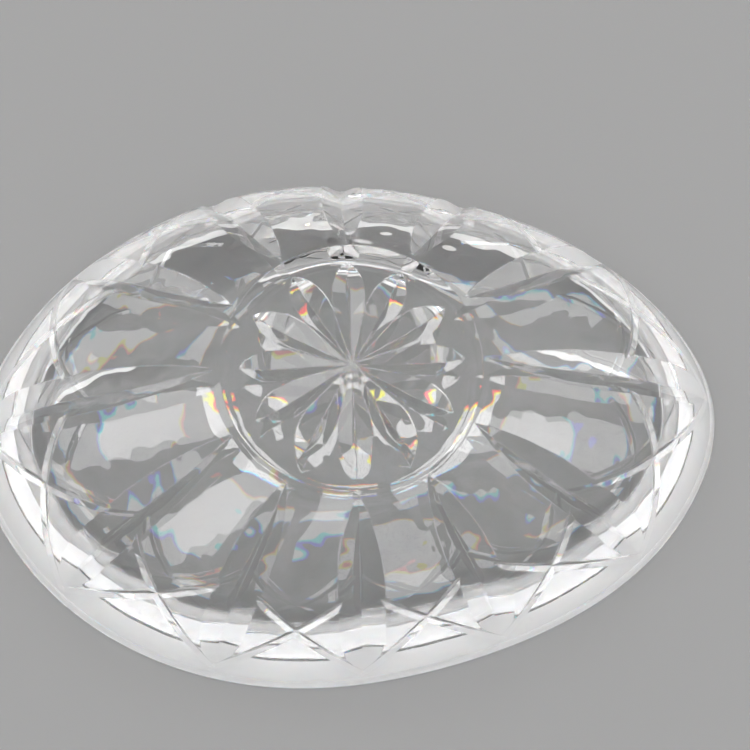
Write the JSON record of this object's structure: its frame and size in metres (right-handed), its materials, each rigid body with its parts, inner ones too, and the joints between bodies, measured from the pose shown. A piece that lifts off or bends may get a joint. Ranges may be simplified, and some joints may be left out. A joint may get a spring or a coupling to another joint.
{
  "type": "dappen dish",
  "caption": "Shallow oval dish of clear cut glass with a round star-cut foot, mitred flutes and a plain rim, held rim down.",
  "frame": {"origin": "middle of the plane of the ground rim, straight below the middle of the foot; the dish is modelled standing on its rim, so this is the bottom", "axes": "+Z from the rim plane up through the middle of the foot, +X along the long axis towards the slightly narrower end, +Y across the dish"},
  "size_m": [0.1292, 0.0906, 0.0275],
  "materials": {
    "clear_glass": "polished clear colourless pressed and cut glass with crisp mitred edges"
  },
  "bodies": {
    "root": {"glass_dish": "clear_glass"}
  },
  "joints": []
}
